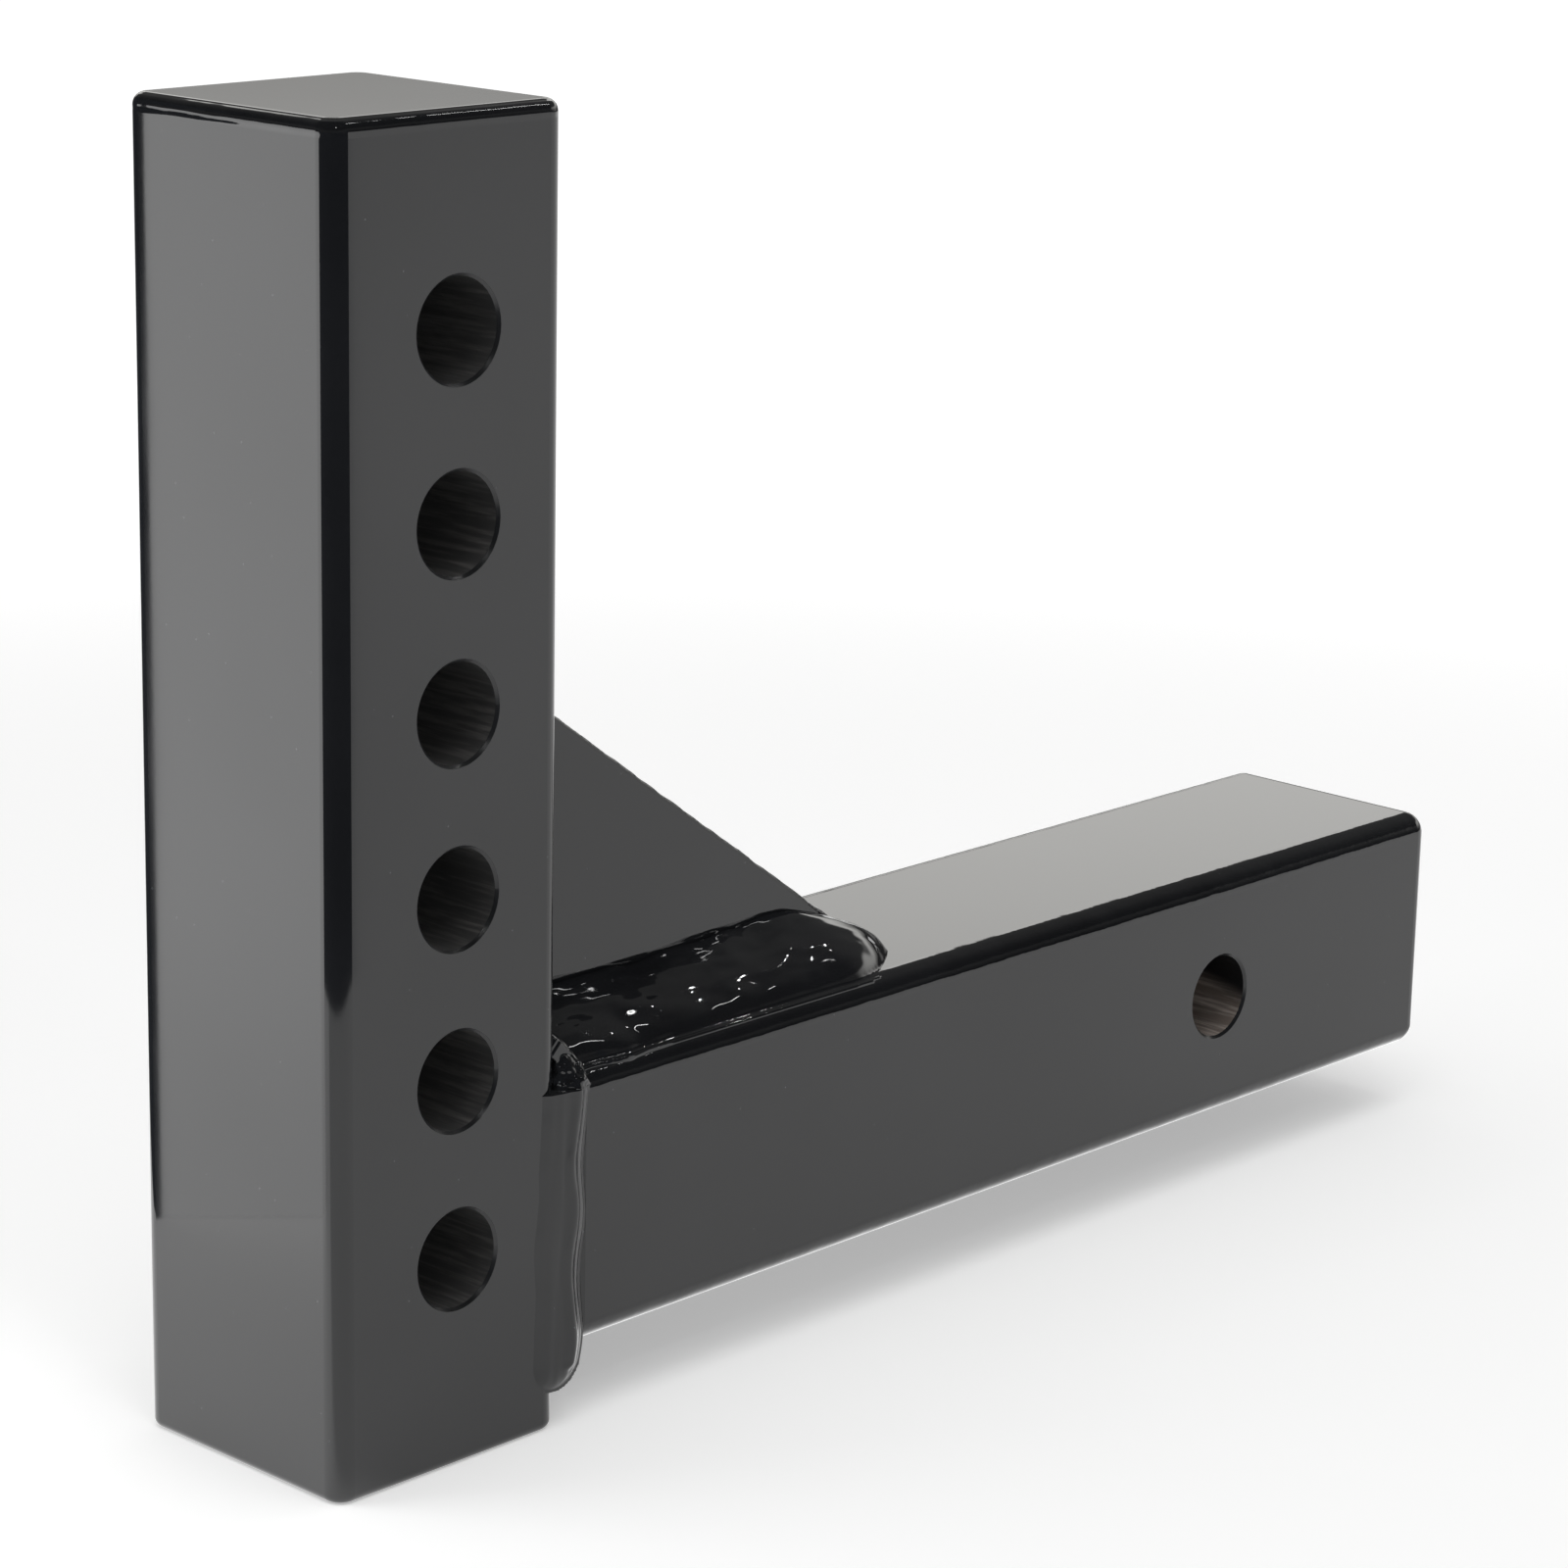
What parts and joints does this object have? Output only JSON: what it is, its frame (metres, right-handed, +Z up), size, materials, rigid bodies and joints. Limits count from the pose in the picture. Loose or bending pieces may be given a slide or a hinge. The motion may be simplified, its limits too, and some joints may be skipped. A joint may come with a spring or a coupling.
{
  "type": "adjustable ball mount shank",
  "caption": "Welded L-shaped ball mount shank: a square bar for the hitch receiver and an upright bar with a row of pin holes that set the height of a sliding ball head.",
  "frame": {"origin": "centre of the hitch pin hole, midway through the shank", "axes": "+X along the shank away from the upright, into the receiver; +Y along the pin holes; +Z up along the upright"},
  "size_m": [0.3048, 0.0534, 0.2318],
  "materials": {
    "black_coat": "gloss black powder coat on steel",
    "coated_weld": "gloss black powder coat over weld beads"
  },
  "bodies": {
    "root": {"upright_bar": "black_coat", "receiver_shank": "black_coat", "gusset_plate": "black_coat", "gusset_foot_weld": "coated_weld", "gusset_head_weld": "coated_weld", "shank_side_weld_right": "coated_weld", "shank_side_weld_left": "coated_weld", "shank_top_weld_right": "coated_weld", "shank_top_weld_left": "coated_weld", "shank_bottom_weld": "coated_weld"}
  },
  "joints": []
}
